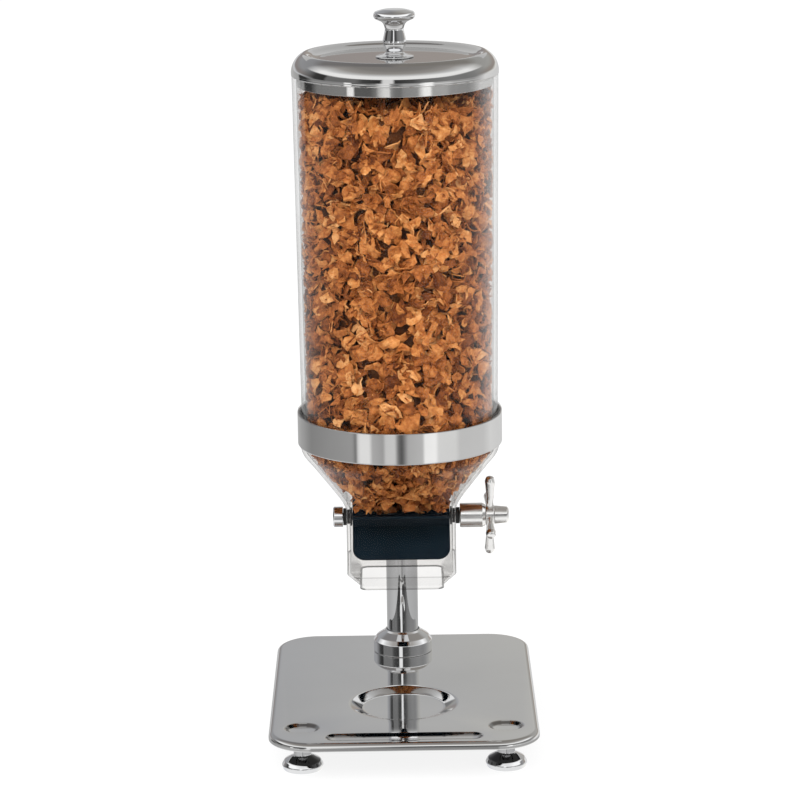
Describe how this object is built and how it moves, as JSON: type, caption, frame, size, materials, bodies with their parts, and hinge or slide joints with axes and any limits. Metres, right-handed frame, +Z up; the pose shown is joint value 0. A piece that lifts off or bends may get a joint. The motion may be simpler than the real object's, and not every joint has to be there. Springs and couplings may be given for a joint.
{
  "type": "cereal dispenser",
  "caption": "Counter-top cereal dispenser: a clear hopper with a steel lid in a ring on a post, a paddle wheel turned by a cross handle, and a pressed steel base tray on levelling feet.",
  "frame": {"origin": "on the floor, at the centre of the base tray's outline", "axes": "+Z up, +Y to the back where the post stands, +X to the right where the handle is"},
  "size_m": [0.26, 0.348, 0.7175],
  "materials": {
    "polished_steel": "mirror polished stainless sheet",
    "chrome_plate": "bright chrome plate",
    "zinc_plate": "satin zinc plate",
    "clear_plastic": "clear polished polycarbonate",
    "navy_silicone": "matt moulded silicone",
    "black_plastic": "matt",
    "black_rubber": "matt",
    "clear_silicone": "matt translucent"
  },
  "bodies": {
    "stand": {"base_plate": "polished_steel", "support_ring": "polished_steel", "post_tube": "chrome_plate", "post_collar": "chrome_plate", "ring_bracket": "chrome_plate", "post_plug": "zinc_plate", "post_bolt": "zinc_plate", "post_bolt_washer": "zinc_plate", "ring_screw_left": "zinc_plate", "ring_screw_right": "zinc_plate", "bracket_clamp_screw": "zinc_plate", "foot_boss_front_left": "zinc_plate", "foot_boss_front_right": "zinc_plate", "foot_boss_rear_left": "zinc_plate", "foot_boss_rear_right": "zinc_plate", "hopper_tube": "clear_plastic", "hopper_funnel": "clear_plastic", "bush_left": "black_plastic", "bush_right": "black_plastic", "post_cap": "black_plastic", "tube_seal": "clear_silicone"},
    "lid": {"lid_pan": "polished_steel", "lid_skirt": "polished_steel", "lid_seal": "clear_silicone", "lid_knob": "chrome_plate", "knob_washer": "zinc_plate", "knob_screw": "zinc_plate"},
    "rotor": {"paddle_wheel": "navy_silicone", "wheel_core": "black_plastic", "drive_shaft": "zinc_plate", "washer_left": "black_rubber", "end_cap_left": "chrome_plate", "washer_right": "black_rubber", "handle_sleeve": "chrome_plate", "handle_hub": "chrome_plate", "handle_nose": "chrome_plate", "handle_arm_up": "chrome_plate", "handle_arm_front": "chrome_plate", "handle_arm_down": "chrome_plate", "handle_arm_rear": "chrome_plate"},
    "foot_front_left_body": {"foot_front_left": "chrome_plate", "foot_pad_front_left": "black_rubber"},
    "foot_front_right_body": {"foot_front_right": "chrome_plate", "foot_pad_front_right": "black_rubber"},
    "foot_rear_left_body": {"foot_rear_left": "chrome_plate", "foot_pad_rear_left": "black_rubber"},
    "foot_rear_right_body": {"foot_rear_right": "chrome_plate", "foot_pad_rear_right": "black_rubber"}
  },
  "joints": [
    {"name": "lid_lift", "type": "slide", "parent": "stand", "child": "lid", "axis": [0, 0, 1], "range_m": [0, 0.06]},
    {"name": "handle_turn", "type": "hinge", "parent": "stand", "child": "rotor", "pos_m": [0, -0.013, 0.22], "axis": [1, 0, 0], "continuous": true},
    {"name": "foot_front_left_level", "type": "slide", "parent": "stand", "child": "foot_front_left_body", "axis": [0, 0, -1], "range_m": [0, 0.008]},
    {"name": "foot_front_right_level", "type": "slide", "parent": "stand", "child": "foot_front_right_body", "axis": [0, 0, -1], "range_m": [0, 0.008]},
    {"name": "foot_rear_left_level", "type": "slide", "parent": "stand", "child": "foot_rear_left_body", "axis": [0, 0, -1], "range_m": [0, 0.008]},
    {"name": "foot_rear_right_level", "type": "slide", "parent": "stand", "child": "foot_rear_right_body", "axis": [0, 0, -1], "range_m": [0, 0.008]}
  ]
}
